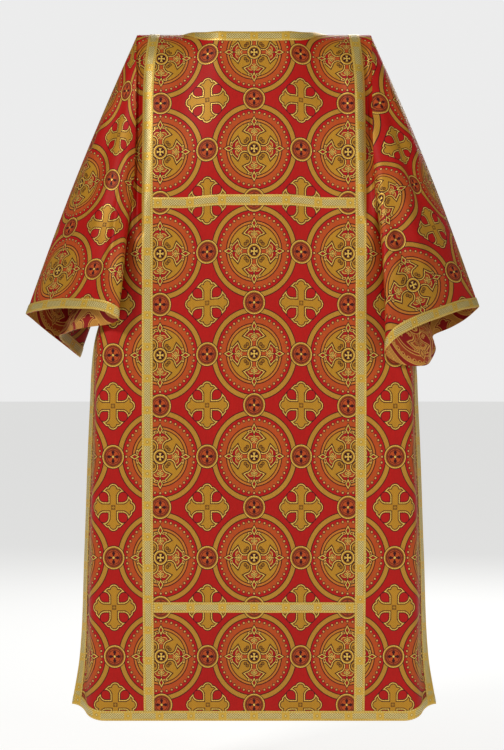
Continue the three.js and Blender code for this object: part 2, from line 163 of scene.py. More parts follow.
# The cuff edge of each sleeve, from the tip over the hand, round the front, to the fold that laps the
# body, back under the arm, and round the back: turn is the part of the way round.
CUFF_COLUMNS = "turn out forward up"
CUFFS = {
    "left": table(
        CUFF_COLUMNS,
        (0, 442, 0, -541), (0.035, 428, 30, -538), (0.08, 404, 64, -535), (0.145, 367, 108, -533),
        (0.216, 333, 144, -535), (0.28, 297, 172, -537), (0.33, 268, 184, -545),
        (0.365, 252, 172, -557),
        (0.40, 272, 152, -564), (0.45, 308, 136, -569), (0.51, 340, 80, -573),
        (0.59, 364, 20, -579),
        (0.645, 379, -20, -585), (0.70, 366, -62, -602), (0.77, 346, -104, -624),
        (0.83, 376, -98, -600),
        (0.90, 412, -66, -570), (0.96, 434, -30, -549), (1, 442, 0, -541)),
    "right": table(
        CUFF_COLUMNS,
        (0, 436, 0, -527), (0.035, 422, 30, -530), (0.085, 397, 66, -535), (0.165, 353, 116, -550),
        (0.245, 312, 154, -565), (0.31, 274, 180, -583), (0.348, 254, 188, -598),
        (0.385, 243, 172, -619),
        (0.424, 268, 150, -636), (0.46, 294, 144, -642), (0.495, 320, 122, -641),
        (0.57, 337, 62, -630),
        (0.655, 351, 0, -610), (0.72, 352, -48, -594), (0.79, 356, -94, -580),
        (0.85, 390, -92, -565),
        (0.91, 416, -64, -549), (0.965, 432, -26, -533), (1, 436, 0, -527)),
}
# How far a sleeve stands out from the straight, half way along, at each part of the way round.
SWELL = table(
    "turn forward out",
    (0, 0, 8), (0.12, 22, 6), (0.25, 28, 0), (0.36, 30, -4), (0.42, 32, 6), (0.47, 26, 22),
    (0.51, 6, 34), (0.55, -8, 34), (0.62, -20, 22), (0.75, -28, 2), (0.9, -16, 6), (1, 0, 8))
# Creases of a sleeve: from one place to another, as the part of the way round and the part of the
# way down; how wide they are is a part of the way round too. Height in millimetres.
SLEEVE_CREASES = {
    "left": table(
        "turn along to_turn to_along spread height",
        (0.055, 0.10, 0.06, 0.52, 0.020, 5), (0.10, 0.16, 0.12, 0.60, 0.022, -4),
        (0.17, 0.20, 0.20, 0.86, 0.024, 3.5), (0.25, 0.30, 0.26, 0.92, 0.020, -3),
        (0.20, 0.02, 0.31, 0.80, 0.018, 5),
        (0.93, 0.14, 0.90, 0.80, 0.026, 4), (0.86, 0.20, 0.82, 0.90, 0.026, -4),
        (0.78, 0.3, 0.74, 0.9, 0.024, 4)),
    "right": table(
        "turn along to_turn to_along spread height",
        (0.05, 0.08, 0.05, 0.46, 0.018, 4.5), (0.095, 0.12, 0.11, 0.66, 0.020, -4),
        (0.16, 0.22, 0.18, 0.90, 0.026, 3.5), (0.23, 0.22, 0.25, 0.80, 0.020, -3),
        (0.94, 0.12, 0.92, 0.84, 0.024, 4), (0.87, 0.24, 0.84, 0.92, 0.026, -4),
        (0.79, 0.3, 0.76, 0.9, 0.024, 4)),
}
# How the brocade's grain lies on each sleeve: at each distance up from the cuff, which row of the
# repeat it is, and where the two columns of motifs on its front run. They are given as distance
# round from the top line, and as distance out from the middle of the body.
GRAIN_COLUMNS = "up row round_outer round_inner out_outer out_inner"
SLEEVE_GRAIN = {
    "left": {"first": 0.0, "rows": table(
        GRAIN_COLUMNS,
        (0, -0.42, 92, 206, 391, 315), (78, 0, 89, 202, 374, 298), (166, 0.5, 83, 190, 354, 279),
        (257, 1, 67, 159, 334, 267), (351, 1.5, 32, 122, 312, 256), (447, 2, -2, 87, 288, 243),
        (640, 3, -40, 48, 250, 222))},
    "right": {"first": REPEAT["across"] / 2, "rows": table(
        GRAIN_COLUMNS,
        (0, -0.40, 66, 206, 414, 323), (75, 0, 70, 205, 383, 296), (166, 0.5, 96, 202, 342, 263),
        (255, 1, 106, 180, 307, 234), (333, 1.5, 104, 174, 277, 208), (424, 2, 94, 168, 247, 184),
        (610, 3, 80, 160, 208, 150))},
}

# Fineness of the nets and sums.
FINE = 5.0                         # spacing of the panels' points
NUDGE = 2.0                        # small step that a normal is taken from
HEIGHT_STEP = 1.0                  # step down the cloth when its height is summed
LEAST_DROP = 0.05                  # least part of each step that goes down
HEADING_STEPS = 40                 # steps across the cloth when its heading is summed
ARMHOLE_STEPS = 96                 # points down each side of an armhole
UNDERARM_STEPS = 8                 # points across the gap between its two sides
SLEEVE_STEPS = 100                 # rows of a sleeve above its braid
CUFF_STEPS = 7                     # rows of a sleeve under its braid
FOLD_FADE = (0.1, 0.8)             # where on a half sine wave a fold starts, and how much of it it covers
SHARP = math.radians(60)           # corners sharper than this stay sharp


# ---------------------------------------------------------------- curves and the panels' form
def ease(x, low, high):
    """Smooth step: 0 below low, 1 above high, 3f^2 - 2f^3 between."""
    f = np.clip((x - low) / (high - low), 0, 1)
    return f * f * (3 - 2 * f)


def through(rows, key, column, at):
    """Smooth curve through a table's column against its key: cubic pieces, whose slopes come from
    both neighbours."""
    keys, values = rows[key], rows[column]
    after = np.minimum(np.arange(len(keys)) + 1, len(keys) - 1)
    before = np.maximum(np.arange(len(keys)) - 1, 0)
    slopes = (values[after] - values[before]) / (keys[after] - keys[before])
    x = np.clip(at, keys[0], keys[-1])
    i = np.clip(np.searchsorted(keys, x) - 1, 0, len(keys) - 2)
    span = keys[i + 1] - keys[i]
    f = (x - keys[i]) / span
    rise = (3 - 2 * f) * f * f
    bend = span * f * (1 - f) * ((1 - f) * slopes[i] - f * slopes[i + 1])
    return values[i] + (values[i + 1] - values[i]) * rise + bend


def lerp(a, b, part):
    """Straight between two numbers, nets or fields: a + (b - a) part."""
    return a + (b - a) * part


def neck_down(fall, across):
    """Depth of the neckline: neck (1 - (|across| / NECK_HALF)^6)^2, flat in the middle and running
    out to the shoulder at NECK_HALF."""
    part = np.minimum(np.abs(across) / NECK_HALF, 1)
    return fall["neck"] * (1 - part ** NECK_SQUARE) ** 2


def hem_down(fall, across):
    """The hem line: level, rising a little towards the panel's edges."""
    return fall["hem"] - HEM_RISE * ease(np.abs(across), HEM_RISES_FROM, PANEL_HALF)


def clavus_in(down):
    """Inner edge of a clavus, which leans in towards the shoulder."""
    return CLAVUS - CLAVUS_LEAN * (1 - ease(down, 0, CLAVUS_STRAIGHT))


def half_width(down):
    return through(SIDE, "down", "half", down)


def heights(fall, column, zero_down, zero_up):
    """Height against distance down the cloth: up = -sum of sqrt(step^2 - gain^2), so that each step
    keeps its length, whatever depth it gains."""
    downs = np.arange(0, HEM + HEIGHT_STEP, HEIGHT_STEP)
    gains = np.diff(through(fall["rows"], "down", column, downs))
    drops = np.sqrt(np.maximum(HEIGHT_STEP ** 2 - gains ** 2, (LEAST_DROP * HEIGHT_STEP) ** 2))
    ups = -np.concatenate(([0], np.cumsum(drops)))
    ups += zero_up - np.interp(zero_down, downs, ups)
    return downs, ups


for fall in FALL.values():
    fall["middle_up"] = heights(fall, "middle", fall["neck"], fall["neck_up"])
    fall["shoulder_up"] = heights(fall, "shoulder", 0, 0)


def sideways(across, down):
    """Place across the body and distance set back, along one level: x = sum of cos(heading) ds and
    back = sum of sin(heading) ds, as the heading turns from straight across to nearly straight back."""
    side = {column: through(SIDE, "down", column, down)[..., None]
            for column in SIDE if column != "down"}
    step = np.abs(across) / HEADING_STEPS
    s = step[..., None] * (np.arange(HEADING_STEPS) + 0.5)
    turned = side["turned"] * ease(s, side["start"], side["start"] + side["length"])
    flared = (side["edge"] - side["turned"]) * ease(s, side["half"] - FLARE, side["half"])
    heading = np.radians(turned + flared)
    return np.sign(across) * np.cos(heading).sum(-1) * step, np.sin(heading).sum(-1) * step


def fold_height(folds, x, y, x_name="across", y_name="down", stretch=1.0):
    """Sum of soft folds: each is height exp(-(off / spread)^2) sin(pi (start + cover run)), a bell
    across its line that fades towards both its ends."""
    start, cover = FOLD_FADE
    total = np.zeros(np.broadcast(x, y).shape)
    for k in range(len(folds["height"])):
        ax = folds["to_" + x_name][k] - folds[x_name][k]
        ay = (folds["to_" + y_name][k] - folds[y_name][k]) * stretch
        bx = x - folds[x_name][k]
        by = (y - folds[y_name][k]) * stretch
        run = np.clip((ax * bx + ay * by) / (ax * ax + ay * ay), 0, 1)
        off = np.hypot(bx - ax * run, by - ay * run) / folds["spread"][k]
        total += folds["height"][k] * np.exp(-off * off) * np.sin(np.pi * (start + cover * run))
    return total


def panel_point(name, across, down):
    """A point of a panel's outer face: (x, facing (profile - back + folds), up), where the profile is
    FALL's, x and back are the sums of sideways(), and the folds grow in from the shoulder."""
    fall = FALL[name]
    facing = -1 if name == "front" else 1
    to_shoulder = ease(np.abs(across), SHOULDER_FROM, NECK_HALF)
    lowered = to_shoulder * (1 - ease(down, *LEVEL))
    depth = lerp(through(fall["rows"], "down", "middle", down),
                 through(fall["rows"], "down", "shoulder", down), to_shoulder)
    x, back = sideways(across, down)
    depth = depth - back * ease(down, -SHOULDER_SOFT, SHOULDER_SOFT)
    creased = fold_height(FOLDS[name], across, down) + fold_height(CREASES[name], across, down)
    depth = depth + creased * ease(down, 0, SHOULDER_SOFT)
    up = lerp(np.interp(down, *fall["middle_up"]), np.interp(down, *fall["shoulder_up"]), lowered)
    return np.stack([x, facing * np.maximum(depth, GAP / 2), up], -1)


def unit(vectors):
    return vectors / np.maximum(np.linalg.norm(vectors, axis=-1, keepdims=True), 1e-9)


def panel_net(name, across, down):
    """Points of a panel with their outward normals and their sideways direction, by small steps
    towards the panel's middle."""
    facing = -1 if name == "front" else 1
    point = panel_point(name, across, down)
    nudge = np.where(across > 0, -NUDGE, NUDGE)
    nudge_down = np.where(down > HEM / 2, -NUDGE, NUDGE)
    along = unit((panel_point(name, across + nudge, down) - point) * nudge[..., None])
    fallen = (panel_point(name, across, down + nudge_down) - point) * nudge_down[..., None]
    normal = np.cross(along, fallen) * facing
    on_seam = np.abs(point[..., 1]) <= GAP / 2
    normal[..., 1] = np.where(on_seam, 0, normal[..., 1])
    return point, unit(normal), along


# ---------------------------------------------------------------- meshes
def build(name, positions, quads, uvs, materials, material_index):
    """A mesh object from arrays: vertices in millimetres, quads, a UV for each corner, and the
    material of each face."""
    mesh = bpy.data.meshes.new(name)
    mesh.vertices.add(len(positions))
    mesh.vertices.foreach_set("co", (positions * MM).ravel())
    mesh.loops.add(quads.size)
    mesh.loops.foreach_set("vertex_index", quads.ravel())
    mesh.polygons.add(len(quads))
    mesh.polygons.foreach_set("loop_start", np.arange(len(quads)) * 4)
    mesh.polygons.foreach_set("material_index", material_index)
    mesh.polygons.foreach_set("use_smooth", np.ones(len(quads), bool))
    layer = mesh.uv_layers.new(name="cloth")
    layer.data.foreach_set("uv", (uvs * MM).ravel())
    for material in materials:
        mesh.materials.append(material)
    mesh.update(calc_edges=True)
    mesh.validate()
    mesh.set_sharp_from_angle(angle=SHARP)
    thing = bpy.data.objects.new(name, mesh)
    bpy.context.scene.collection.objects.link(thing)
    return thing


def wall(name, outside, inside, places, normal, materials, loop=False):
    """A closed wall between two nets of the same size. places is each point's place on the cloth;
    round a loop it has one column more. Outer faces take the first material, inner ones the last."""
    rows, columns = outside.shape[:2]
    at = np.arange(rows * columns).reshape(rows, columns)
    if loop:
        at = np.concatenate([at, at[:, :1]], 1)
    on = np.arange(places.shape[0] * places.shape[1]).reshape(places.shape[:2])
    deeper = rows * columns

    def corners(index):
        quad = [index[:-1, :-1], index[1:, :-1], index[1:, 1:], index[:-1, 1:]]
        return np.stack(quad, -1).reshape(-1, 4)

    def rim(index, inner, reverse):
        quad = np.stack([index[:-1], index[1:], inner[1:], inner[:-1]], -1)
        return quad[:, ::-1] if reverse else quad

    faces = [corners(at), corners(at)[:, ::-1] + deeper]
    spots = [corners(on), corners(on)[:, ::-1]]
    edges = [((0, slice(None)), False), ((-1, slice(None)), True)]
    if not loop:
        edges += [((slice(None), 0), True), ((slice(None), -1), False)]
    for where, reverse in edges:
        faces.append(rim(at[where], at[where] + deeper, reverse))
        spots.append(rim(on[where], on[where], reverse))
    sides = [np.full(len(f), 1 if k == 1 else 0) for k, f in enumerate(faces)]
    faces, spots, sides = np.concatenate(faces), np.concatenate(spots), np.concatenate(sides)
    i, j = rows // 2, columns // 2
    down_step = outside[min(i + 1, rows - 1), j] - outside[i - 1, j]
    side_step = outside[i, min(j + 1, columns - 1)] - outside[i, j - 1]
    if np.dot(np.cross(down_step, side_step), normal[i, j]) < 0:
        faces, spots = faces[:, ::-1], spots[:, ::-1]
    positions = np.concatenate([outside.reshape(-1, 3), inside.reshape(-1, 3)])
    uvs = places.reshape(-1, 2)[spots.ravel()]
    return build(name, positions, faces, uvs, materials, sides * (len(materials) - 1))


def flat_area(places):
    """Area of a net on the flat cloth, in square metres: the sum of |one x other| / 2, over each
    cell's two diagonals."""
    one = places[1:, 1:] - places[:-1, :-1]
    other = places[1:, :-1] - places[:-1, 1:]
    return float(np.abs(one[..., 0] * other[..., 1] - one[..., 1] * other[..., 0]).sum() / 2 * MM * MM)


# ---------------------------------------------------------------- patterns drawn by arithmetic
class Field:
    """A number that varies over a surface, as one output of a material's nodes."""

    def __init__(self, tree, socket):
        self.tree = tree
        self.socket = socket

    def math(self, operation, *others):
        node = self.tree.nodes.new("ShaderNodeMath")
        node.operation = operation
        for socket, value in zip(node.inputs, (self, *others)):
            if isinstance(value, Field):
                self.tree.links.new(value.socket, socket)
            else:
                socket.default_value = value
        return Field(self.tree, node.outputs[0])

    def __add__(self, other):
        return self.math("ADD", other)

    def __sub__(self, other):
        return self.math("SUBTRACT", other)

    def __rsub__(self, other):
        return self.math("MULTIPLY_ADD", -1.0, other)

    def __mul__(self, other):
        return self.math("MULTIPLY", other)

    __radd__ = __add__
    __rmul__ = __mul__

    def size(self):
        return self.math("ABSOLUTE")

    def least(self, other):
        return self.math("MINIMUM", other)

    def most(self, other):
        return self.math("MAXIMUM", other)

    def folded(self):
        """What is left after taking away the nearest whole number."""
        return self - self.math("ROUND")

    def wave(self, period):
        """A triangle wave from 0 to 1."""
        return (self * (1 / period)).folded().size() * 2


def length(x, y):
    """Distance from nought of a point given by two fields."""
    join = x.tree.nodes.new("ShaderNodeCombineXYZ")
    x.tree.links.new(x.socket, join.inputs[0])
    x.tree.links.new(y.socket, join.inputs[1])
    node = x.tree.nodes.new("ShaderNodeVectorMath")
    node.operation = "LENGTH"
    x.tree.links.new(join.outputs[0], node.inputs[0])
    return Field(x.tree, node.outputs["Value"])


def band(field, low, high):
    """Below nought between low and high."""
    return (field - (low + high) / 2).size() - (high - low) / 2


def beyond(p, q, first, second):
    """Signed distance from the line through two points (p, q), above nought on its left."""
    dp, dq = second[0] - first[0], second[1] - first[1]
    long = math.hypot(dp, dq)
    return p * (-dq / long) + (q * (dp / long) + (first[0] * dq - first[1] * dp) / long)


def linear(colour):
    """A colour of 0 to 255 as the light it gives back."""
    parts = [c / 255 for c in colour]
    return [c / 12.92 if c < 0.04045 else ((c + 0.055) / 1.055) ** 2.4 for c in parts] + [1.0]


class Painting:
    """A colour built up in layers, each laid where a field is below nought."""

    def __init__(self, tree, ground, palette, soft):
        self.tree = tree
        self.palette = palette
        self.soft = soft
        self.socket = None
        self.ground = linear(palette[ground])

    def mix(self, factor, colour, blend="MIX"):
        node = self.tree.nodes.new("ShaderNodeMix")
        node.data_type = "RGBA"
        node.blend_type = blend
        if isinstance(factor, Field):
            self.tree.links.new(factor.socket, node.inputs[0])
        else:
            node.inputs[0].default_value = factor
        if self.socket is None:
            node.inputs[6].default_value = self.ground
        else:
            self.tree.links.new(self.socket, node.inputs[6])
        if isinstance(colour, bpy.types.NodeSocket):
            self.tree.links.new(colour, node.inputs[7])
        else:
            node.inputs[7].default_value = colour
        self.socket = node.outputs[2]

    def lay(self, shape, colour):
        inside = shape.math("MULTIPLY_ADD", -1 / self.soft, 0.5)
        inside.socket.node.use_clamp = True
        self.mix(inside, linear(self.palette[colour]))


def start_material(name):
    material = bpy.data.materials.new(name)
    material.use_nodes = True
    tree = material.node_tree
    place = tree.nodes.new("ShaderNodeUVMap")
    place.uv_map = "cloth"
    split = tree.nodes.new("ShaderNodeSeparateXYZ")
    tree.links.new(place.outputs[0], split.inputs[0])
    return material, tree, Field(tree, split.outputs[0]), Field(tree, split.outputs[1])


def noise(tree, scale, detail, stretch=(1, 1, 1)):
    """Cloudy variation, by place on the cloth in metres."""
    place = tree.nodes.new("ShaderNodeUVMap")
    place.uv_map = "cloth"
    mapping = tree.nodes.new("ShaderNodeMapping")
    mapping.inputs["Scale"].default_value = stretch
    tree.links.new(place.outputs[0], mapping.inputs[0])
    node = tree.nodes.new("ShaderNodeTexNoise")
    node.inputs["Scale"].default_value = scale
    node.inputs["Detail"].default_value = detail
    tree.links.new(mapping.outputs[0], node.inputs["Vector"])
    return Field(tree, node.outputs[0])


def finish_surface(tree, colour, gloss, height, bump, depth):
    """Joins colour, roughness and bump to the shader."""
    shader = tree.nodes["Principled BSDF"]
    tree.links.new(colour, shader.inputs["Base Color"])
    tree.links.new(gloss.socket, shader.inputs["Roughness"])
    node = tree.nodes.new("ShaderNodeBump")
    node.inputs["Strength"].default_value = bump
    node.inputs["Distance"].default_value = depth
    tree.links.new(height.socket, node.inputs["Height"])
    tree.links.new(node.outputs[0], shader.inputs["Normal"])
    return shader


def medallion(paint, mx, my, along, off):
    """A roundel repeat apart: a gold ring, a string of beads round an orange band, and a disc of four
    leaves with a fleur between each pair. along and off are folded onto one eighth."""
    r = length(mx, my)
    paint.lay(band(r, 0.395, 0.459), "outline")
    paint.lay(band(r, 0.404, 0.450), "ring")
    beads = 40
    cell = (my.math("ARCTAN2", mx) * (beads / (2 * math.pi))).folded()
    scallop = cell * cell * 0.05
    paint.lay(r - scallop - 0.350, "orange")
    bead = length(r - 0.360, cell * (2 * math.pi * 0.360 / beads))
    paint.lay(bead - 0.0165, "outline")
    paint.lay(bead - 0.0100, "bead")
    paint.lay(band(r, 0.260, 0.300), "outline")
    paint.lay(band(r, 0.270, 0.290), "amber")
    paint.lay(r - 0.260, "gold")
    # the opening between two leaves
    corner = (0.172, 0.124)
    outer = beyond(along, off, corner, (0.237, 0.060))
    lower = beyond(along, off, (0.148, 0.075), corner)
    scroll = length(along - 0.100, off - 0.088)
    opening = outer.most(0.052 - scroll).most(lower.least(off - 0.075))
    opening = opening.most(r - 0.268)
    paint.lay(opening - 0.006, "outline")
    paint.lay(opening + 0.005, "light")
    paint.lay(opening + 0.014, "outline")
    paint.lay(opening + 0.021, "crimson")
    arch = length(along - 0.163, off - 0.034)
    inner = opening + 0.021
    paint.lay(inner.most((arch - 0.040).least(along - 0.160)), "outline")
    paint.lay(inner.most((arch - 0.030).least(along - 0.148)), "orange")
    paint.lay(inner.most(band(arch, 0.030, 0.0365)), "light")
    scroll = length(along - 0.166, off - 0.021)
    paint.lay(inner.most(scroll - 0.018), "outline")
    paint.lay(inner.most(band(scroll, 0.0065, 0.0135)), "light")
    paint.lay(length(along - 0.130, off) - 0.0105, "outline")
    paint.lay(length(along - 0.130, off) - 0.0065, "bead")
    paint.lay((off - 0.0085).most(band(along, 0.168, 0.240)), "outline")
    paint.lay((off - 0.0045).most(band(along, 0.160, 0.245)), "light")
    curl = length(along - 0.094, off - 0.072)
    paint.lay(band(curl, 0.010, 0.018), "outline")
    paint.lay(curl - 0.005, "outline")
    # the fleur
    petal = length((along - 0.243) * 2.2, off - 0.043) - 0.026
    paint.lay(petal - 0.007, "outline")
    paint.lay(petal, "light")
    paint.lay(petal + 0.011, "outline")
    paint.lay(petal + 0.016, "crimson")
    tip = off + (along - 0.270).size() * 0.56 - 0.028
    paint.lay(tip - 0.009, "outline")
    paint.lay(tip, "light")
    paint.lay(tip + 0.010, "outline")
    paint.lay(tip + 0.015, "crimson")
    # the boss
    paint.lay(r - 0.079, "outline")
    paint.lay(r - 0.071, "light")
    paint.lay(r - 0.062, "gold")
    paint.lay(r - 0.051, "outline")
    arm = off - (along - 0.018).most(0.0) * 0.5 - 0.006
    paint.lay(arm.most(along - 0.036), "light")


def small_roundel(paint, along, off):
    """The roundel that links two rings, with a cross of four lobes."""
    x = along - 0.5
    r = length(x, off)
    paint.lay(r - 0.122, "outline")
    paint.lay(r - 0.114, "light")
    paint.lay(r - 0.107, "ring")
    paint.lay(r - 0.097, "outline")
    paint.lay(r - 0.091, "orange")
    dots = 36
    cell = (off.math("ARCTAN2", x) * (dots / (2 * math.pi))).folded()
    paint.lay(length(r - 0.083, cell * (2 * math.pi * 0.083 / dots)) - 0.0060, "outline")
    far, near = x.size().most(off), x.size().least(off)
    paint.lay(band(far + near * 0.45, 0.067, 0.074), "outline")
    lobes = (length(far - 0.043, near) - 0.0165).least((near - 0.008).most(far - 0.062))
    paint.lay(lobes, "outline")
    paint.lay(r - 0.012, "light")


def cross(paint, far, near):
    """A cross with concave flared arms and a rounded lobe at each end, with a border inside its edge."""
    arm = (near - 0.0537).most(far - 0.19)
    blade = beyond(far, near, (0.146, 0.1315), (0.2016, 0.072)).most(0.10 - far)
    blade = blade.most(0.0525 - length(far - 0.10, near - 0.1062)).most(far - 0.2016)
    lobe = length(far - 0.1780, near) - 0.0585
    edge = arm.least(blade).least(lobe)
    paint.lay(edge - 0.004, "outline")
    paint.lay(edge + 0.005, "light")
    paint.lay(edge + 0.0145, "outline")
    paint.lay(edge + 0.0235, "gold")
    paint.lay(far - 0.022, "outline")
    paint.lay(far - 0.017, "gold")
    paint.lay(length(far - 0.0095, near - 0.0095) - 0.005, "outline")


FACE = {
    "ground": (176, 16, 8), "outline": (58, 4, 12), "ring": (172, 122, 40), "gold": (172, 122, 32),
    "light": (208, 168, 76), "orange": (178, 72, 24), "amber": (186, 110, 36), "crimson": (162, 8, 10),
    "bead": (196, 148, 78),
}
REVERSE = {
    "ground": (178, 122, 50), "outline": (196, 142, 64), "ring": (138, 16, 16), "gold": (146, 18, 16),
    "light": (122, 14, 16), "orange": (160, 58, 24), "amber": (148, 36, 18), "crimson": (188, 124, 52),
    "bead": (134, 16, 16),
}


def brocade(name, palette, roughness, shine):
    """Satin brocade: gold roundels linked in rows and columns, with a cross between each four."""
    material, tree, u, v = start_material(name)
    x = u * (1 / (REPEAT["across"] * MM))
    y = (v - REPEAT["first"] * MM) * (1 / (REPEAT["down"] * MM))
    mx, my = x.folded(), y.folded()
    px, py = mx.size(), my.size()
    along, off = px.most(py), px.least(py)
    paint = Painting(tree, "ground", palette, soft=0.005)
    medallion(paint, mx, my, along, off)
    small_roundel(paint, along, off)
    cross(paint, 0.5 - off, 0.5 - along)
    parts = tree.nodes.new("ShaderNodeSeparateColor")
    tree.links.new(paint.socket, parts.inputs[0])
    gilt = Field(tree, parts.outputs[1])
    # weave: the gold lies in fine diagonal floats, the ground in close ribs
    twill = (u - v).wave(0.0044)
    ribs = v.wave(0.0009)
    fine = lerp(ribs, twill, (gilt * 3).least(1.0))
    shade = noise(tree, 260.0, 2.0, (1.0, 0.25, 1.0))
    broad = noise(tree, 9.0, 2.0)
    # the weave is multiplied into the colour, far more strongly on the gold, so the gold's diagonal
    # floats show as painted glints (painted highlight) as well as the weave's own texture; the two noises
    # add tone that differs at random
    tone_and_painted_glint = fine * (0.08 + gilt * 1.5) + shade * 0.24 + broad * 0.16 + 0.64
    paint.mix(1.0, grey(tree, tone_and_painted_glint), "MULTIPLY")
    gloss = gilt * -0.25 + shade * 0.10 + roughness
    height = gilt * 0.7 + fine * 0.12 + shade * 0.10
    shader = finish_surface(tree, paint.socket, gloss, height, 0.35, 0.0006)
    metal = gilt * shine
    tree.links.new(metal.socket, shader.inputs["Metallic"])
    shader.inputs["Specular IOR Level"].default_value = 0.18
    return material


def grey(tree, field):
    """A field as a grey colour."""
    node = tree.nodes.new("ShaderNodeCombineColor")
    for socket in node.inputs[:3]:
        tree.links.new(field.socket, socket)
    return node.outputs[0]


BRAID = {
    "ground": (196, 160, 64), "dot": (202, 158, 44), "pale": (214, 200, 136), "shade": (136, 108, 46),
    "patch": (204, 162, 56), "edge": (204, 170, 78),
}


def galloon():
    """Woven braid: plain edges, toothed margins, and a pale diamond lattice broken by gold patches."""
    material, tree, u, v = start_material("galloon")
    from_edge = (v - GALLOON / 2 * MM).size() * -1 + GALLOON / 2 * MM
    paint = Painting(tree, "ground", BRAID, soft=0.0005)
    period = 0.060
    in_patch = (u * (1 / period)).folded().size() * period - 0.0075
    one, other = (u + v).wave(0.0046), (u - v).wave(0.0046)
    lattice = one.most(other)
    paint.lay((0.62 - lattice) * 0.004, "pale")
    paint.lay((one.least(other) - 0.22) * 0.004, "shade")
    paint.lay(in_patch, "patch")
    star = (v - GALLOON / 2 * MM).size() + (u * (1 / period)).folded().size() * period
    paint.lay(band(star, 0.0026, 0.0036), "shade")
    paint.lay(star - 0.0018, "pale")
    tooth = u.wave(0.0050) * 0.0022
    paint.lay(from_edge - tooth - 0.0030, "dot")
    margin = band(from_edge, 0.0012, 0.0026) * 300.0
    paint.lay(band(u.wave(0.0050), 0.62, 1.2).most(margin) * 0.002, "pale")
    paint.lay(from_edge - 0.0010, "edge")
    shade = noise(tree, 500.0, 2.0)
    ribs = u.wave(0.0012)
    paint.mix(1.0, grey(tree, ribs * 0.12 + shade * 0.3 + 0.76), "MULTIPLY")
    gloss = shade * 0.2 + 0.33
    height = lattice * 0.5 + ribs * 0.3 + (from_edge * 400.0).least(1.0) * 0.6
    shader = finish_surface(tree, paint.socket, gloss, height, 0.4, 0.0005)
    shader.inputs["Metallic"].default_value = 0.35
    shader.inputs["Specular IOR Level"].default_value = 0.5
    return material


cloth_face = brocade("brocade_face", FACE, roughness=0.50, shine=0.9)
cloth_back = brocade("brocade_reverse", REVERSE, roughness=0.62, shine=0.3)
braid = galloon()


# ---------------------------------------------------------------- body panels and their braid
def columns_at(down, spacing):
    """Across places of a panel's net on each level: even to the clavus, then even to the edge."""
    outer = clavus_in(down) + GALLOON
    inner_count = int(round((CLAVUS + GALLOON) / spacing))
    outer_count = int(round((PANEL_HALF - CLAVUS - GALLOON) / spacing))
    inner = np.linspace(0, 1, inner_count + 1)
    rest = np.linspace(0, 1, outer_count + 1)[1:]
    right = np.concatenate([outer * inner, outer + (half_width(down) - outer) * rest], -1)
    return np.concatenate([-right[..., :0:-1], right], -1)


def panel(name):
    """One body panel, as a wall from the neck and shoulders to the hem."""
    fall = FALL[name]
    top = neck_down(fall, columns_at(np.array([0.0]), FINE))
    bottom = hem_down(fall, columns_at(np.array([HEM]), FINE))
    count = int(HEM / FINE / 1.15)
    part = np.linspace(0, 1, count + 1)[:, None]
    down = top + (bottom - top) * part
    columns = columns_at(down.reshape(-1, 1), FINE).reshape(*down.shape, -1)
    across = np.take_along_axis(columns, np.arange(down.shape[1])[None, :, None], 2)[..., 0]
    point, normal, _ = panel_net(name, across, down)
    places = np.stack([across, down], -1)
    cloth = wall(f"cloth_{name}", point, point - normal * CLOTH, places, normal,
                 [cloth_face, cloth_back])
    return cloth, flat_area(places)


def braid_top(width):
    """Height of the braid's face over the cloth: gap + thick (1 - 0.6 width^6), width from -1 to 1."""
    return GAP + GALLOON_THICK * (1 - EDGE_THINNED * np.abs(width) ** EDGE_SQUARE)


def strip(piece, name, across, down, lengthwise):
    """Braid lying on a panel: rounded at its edges, one gap off the cloth. The last axis runs across
    the braid; lengthwise is the distance along it."""
    point, normal, _ = panel_net(name, across, down)
    lift = braid_top(np.linspace(-1, 1, across.shape[1])[None, :, None])
    wide = np.broadcast_to(np.linspace(0, GALLOON, across.shape[1]), across.shape)
    places = np.stack([lengthwise, wide], -1)
    return wall(piece, point + normal * lift, point + normal * GAP, places, normal, [braid])


WEFT = np.linspace(0, 1, 9)[None, :]


def steps(low, high, spacing=4.0):
    return np.linspace(low, high, int(abs(high - low) / spacing) + 2)[:, None]


def panel_braid(name):
    """All the braid on one panel, as pieces by the node that each stands for."""
    fall = FALL[name]
    made = {}
    across = steps(-NECK_HALF, NECK_HALF) + WEFT * 0
    down = neck_down(fall, across) + WEFT * GALLOON
    made["neck_galloon"] = strip(f"braid_{name}_neck", name, across, down, across)
    across = steps(-PANEL_HALF, PANEL_HALF) + WEFT * 0
    down = hem_down(fall, across) - GALLOON * (1 - WEFT)
    made["hem_galloon"] = strip(f"braid_{name}_hem", name, across, down, across)
    for where, middle in BAR_DOWN.items():
        end = clavus_in(np.array(middle)) - GAP
        across = steps(-end, end) + WEFT * 0
        down = middle + GALLOON * (WEFT - 0.5) + 0 * across
        made[f"bar_{where}"] = strip(f"braid_{name}_bar_{where}", name, across, down, across)
    for hand, side in (("left", -1), ("right", 1)):
        down = steps(CLAVUS_TRIM, fall["hem"] - GALLOON - GAP) + WEFT * 0
        across = side * (clavus_in(down) + GALLOON * WEFT)
        made[f"clavus_{hand}"] = strip(f"braid_{name}_clavus_{hand}", name, across, down, down)
        across = side * (PANEL_HALF - GALLOON * (1 - WEFT))
        bottom = hem_down(fall, across) - GALLOON - GAP
        down = lerp(UNDERARM + SLIT_TRIM, bottom, steps(0, 1, 0.005))
        across = across + 0 * down
        made[f"side_galloon_{hand}"] = strip(f"braid_{name}_side_{hand}", name, across, down, down)
    return made


